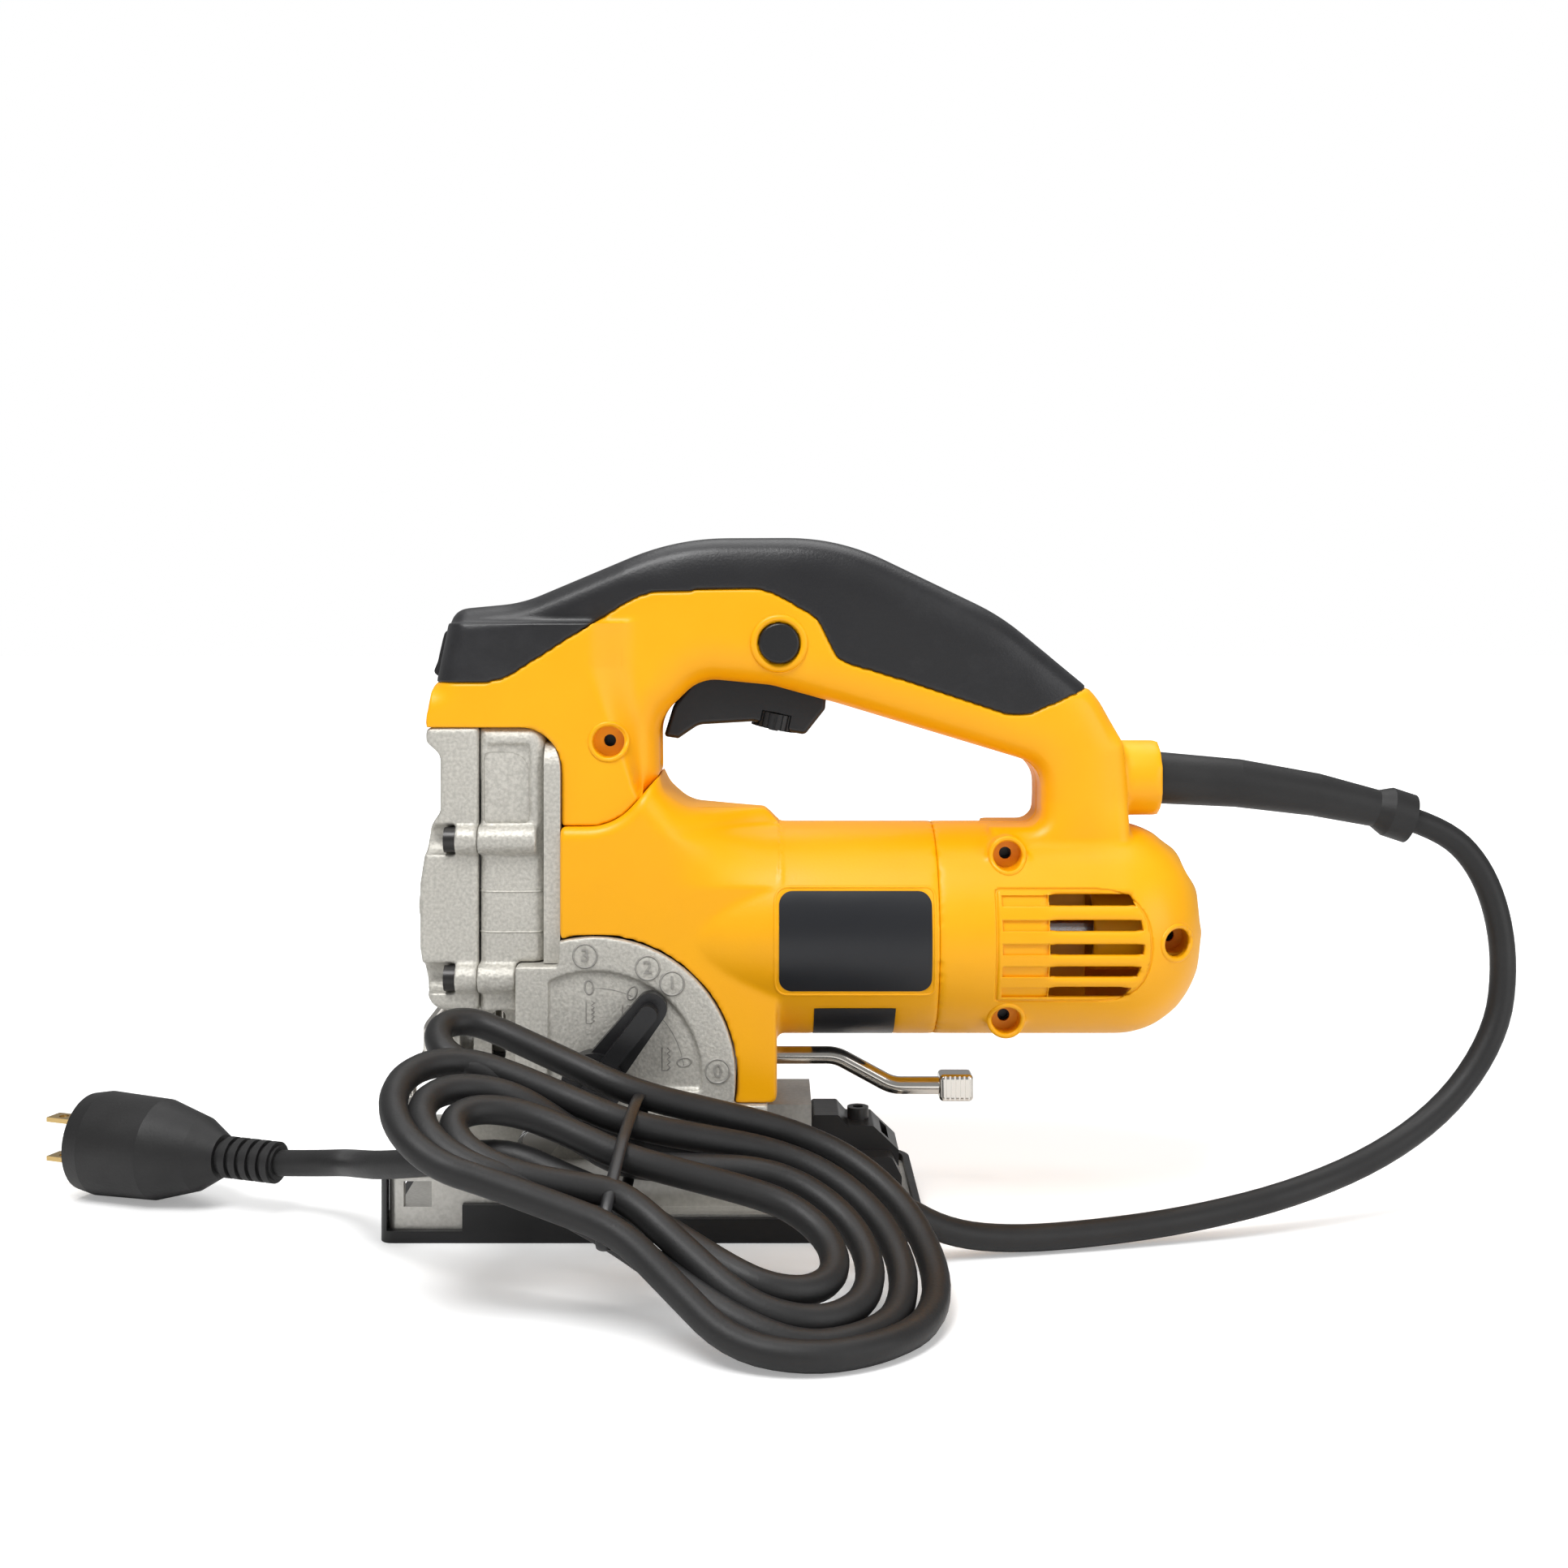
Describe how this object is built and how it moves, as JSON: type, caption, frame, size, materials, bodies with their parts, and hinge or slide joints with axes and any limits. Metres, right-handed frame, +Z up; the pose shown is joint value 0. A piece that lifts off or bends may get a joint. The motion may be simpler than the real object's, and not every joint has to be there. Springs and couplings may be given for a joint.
{
  "type": "jigsaw power tool",
  "caption": "Corded orbital jigsaw with a D-handle, cast gear case, pendulum selector lever, tilting shoe and its lead tied in a hank.",
  "frame": {"origin": "middle of the sole, on the surface that the tool stands on", "axes": "+X to the rear where the cord leaves, -X to the blade, -Y to the side with the pendulum lever, +Z up"},
  "size_m": [0.4742, 0.1805, 0.2127],
  "materials": {
    "yellow_plastic": "fine moulded grain",
    "soft_grip": "matt overmould",
    "black_plastic": "fine moulded grain",
    "label_black": "satin film",
    "cast_aluminium": "as cast, lightly blasted",
    "machined_aluminium": "machined",
    "steel": "zinc plated",
    "chrome_steel": "bright plated",
    "black_steel": "black oxide",
    "bearing_steel": "ground",
    "lamination": "stacked laminations",
    "bronze": "sintered",
    "copper": "enamelled wire",
    "brass": "plated",
    "carbon": "pressed carbon",
    "cord_rubber": "matt jacket"
  },
  "bodies": {
    "housing": {"left_shell": "yellow_plastic", "right_shell": "yellow_plastic", "left_grip": "soft_grip", "right_grip": "soft_grip", "field_case": "yellow_plastic", "label_plates": "label_black", "gear_case": "cast_aluminium", "gear_case_cover": "cast_aluminium", "bearing_plate": "cast_aluminium", "quadrant_housing": "cast_aluminium", "plunger_guard": "cast_aluminium", "finger_guard": "chrome_steel", "stator": "lamination", "field_coils": "copper", "rear_bearing": "bearing_steel", "front_bearing": "bearing_steel", "brush_holders": "brass", "brushes": "carbon", "switch_body": "black_plastic", "cord_clamp": "black_plastic", "strain_relief": "cord_rubber", "shell_screws": "black_steel", "gear_case_screws": "black_steel", "plunger_bushings": "bronze", "gear_axle": "bearing_steel", "fork_pin": "bearing_steel", "counterweight_guides": "bearing_steel", "trigger_pin": "bearing_steel", "release_pin": "bearing_steel", "clamp_bolt": "steel", "cord_lead": "cord_rubber", "cord_tail": "cord_rubber", "cord_hank": "cord_rubber", "hank_tie": "cord_rubber", "plug_body": "cord_rubber", "plug_blades": "brass"},
    "armature": {"armature_shaft": "bearing_steel", "armature_core": "lamination", "commutator": "copper", "fan": "black_plastic"},
    "drive_gear": {"drive_gear": "steel"},
    "plunger": {"plunger": "chrome_steel", "yoke": "steel", "blade_clamp": "steel"},
    "clamp_collar": {"clamp_collar": "black_steel"},
    "counterweight": {"counterweight": "steel"},
    "roller_fork": {"roller_fork": "steel"},
    "guide_roller": {"guide_roller": "bearing_steel"},
    "pendulum_lever": {"pendulum_lever": "black_plastic"},
    "trigger": {"trigger": "black_plastic"},
    "speed_dial": {"speed_dial": "black_plastic"},
    "lock_button": {"lock_button": "black_plastic"},
    "release_lever": {"release_lever": "black_plastic"},
    "bevel_lever": {"bevel_lever": "chrome_steel"},
    "saddle": {"saddle": "machined_aluminium"},
    "shoe": {"shoe_plate": "machined_aluminium", "shoe_cover": "black_plastic", "splinter_insert": "black_plastic", "shoe_bracket": "black_steel", "bracket_bolt": "black_steel"}
  },
  "joints": [
    {"name": "motor_spin", "type": "hinge", "parent": "housing", "child": "armature", "pos_m": [0, 0, 0.0889], "axis": [1, 0, 0], "continuous": true},
    {"name": "gear_spin", "type": "hinge", "parent": "housing", "child": "drive_gear", "pos_m": [-0.038, 0, 0.1077], "axis": [1, 0, 0], "continuous": true},
    {"name": "plunger_stroke", "type": "slide", "parent": "housing", "child": "plunger", "axis": [0, 0, 1], "range_m": [-0.013, 0.013]},
    {"name": "collar_turn", "type": "hinge", "parent": "plunger", "child": "clamp_collar", "pos_m": [-0.048, 0, 0.045], "axis": [0, 0, 1], "range_deg": [0, 40], "stiffness_Nm_per_rad": 0.03, "springref_deg": -11.46},
    {"name": "counterweight_slide", "type": "slide", "parent": "housing", "child": "counterweight", "axis": [0, 0, 1], "range_m": [-0.0078, 0.0078]},
    {"name": "fork_swing", "type": "hinge", "parent": "housing", "child": "roller_fork", "pos_m": [-0.028, 0, 0.044], "axis": [0, 1, 0], "range_deg": [0, 4]},
    {"name": "roller_spin", "type": "hinge", "parent": "roller_fork", "child": "guide_roller", "pos_m": [-0.0405, 0, 0.0185], "axis": [0, 1, 0], "continuous": true},
    {"name": "pendulum_select", "type": "hinge", "parent": "housing", "child": "pendulum_lever", "pos_m": [-0.018, -0.031, 0.0475], "axis": [0, -1, 0], "range_deg": [-48, 42]},
    {"name": "trigger_pull", "type": "hinge", "parent": "housing", "child": "trigger", "pos_m": [0.0495, 0, 0.1665], "axis": [0, 1, 0], "range_deg": [0, 7], "stiffness_Nm_per_rad": 1.5, "springref_deg": -4.58},
    {"name": "speed_dial_turn", "type": "hinge", "parent": "trigger", "child": "speed_dial", "pos_m": [0.0371, 0, 0.1546], "axis": [0.2079, 0, 0.9781], "range_deg": [-150, 150]},
    {"name": "lock_button_press", "type": "slide", "parent": "housing", "child": "lock_button", "axis": [0, 1, 0], "range_m": [0, 0.003], "stiffness_N_per_m": 400, "springref_m": -0.001},
    {"name": "release_lever_lift", "type": "hinge", "parent": "housing", "child": "release_lever", "pos_m": [-0.064, 0, 0.182], "axis": [0, 1, 0], "range_deg": [0, 65], "stiffness_Nm_per_rad": 0.08, "springref_deg": -11.46},
    {"name": "bevel_lever_swing", "type": "hinge", "parent": "housing", "child": "bevel_lever", "pos_m": [0.03, 0, 0.0476], "axis": [0, 0, -1], "range_deg": [0, 30]},
    {"name": "shoe_slide", "type": "slide", "parent": "housing", "child": "saddle", "axis": [1, 0, 0], "range_m": [0, 0.008]},
    {"name": "shoe_bevel", "type": "hinge", "parent": "saddle", "child": "shoe", "pos_m": [0, 0, 0.008], "axis": [1, 0, 0], "range_deg": [-45, 45]}
  ],
  "couplings": [
    {"joint": "gear_spin", "follows": "motor_spin", "ratio": -0.23684},
    {"joint": "counterweight_slide", "follows": "plunger_stroke", "ratio": -0.6}
  ]
}
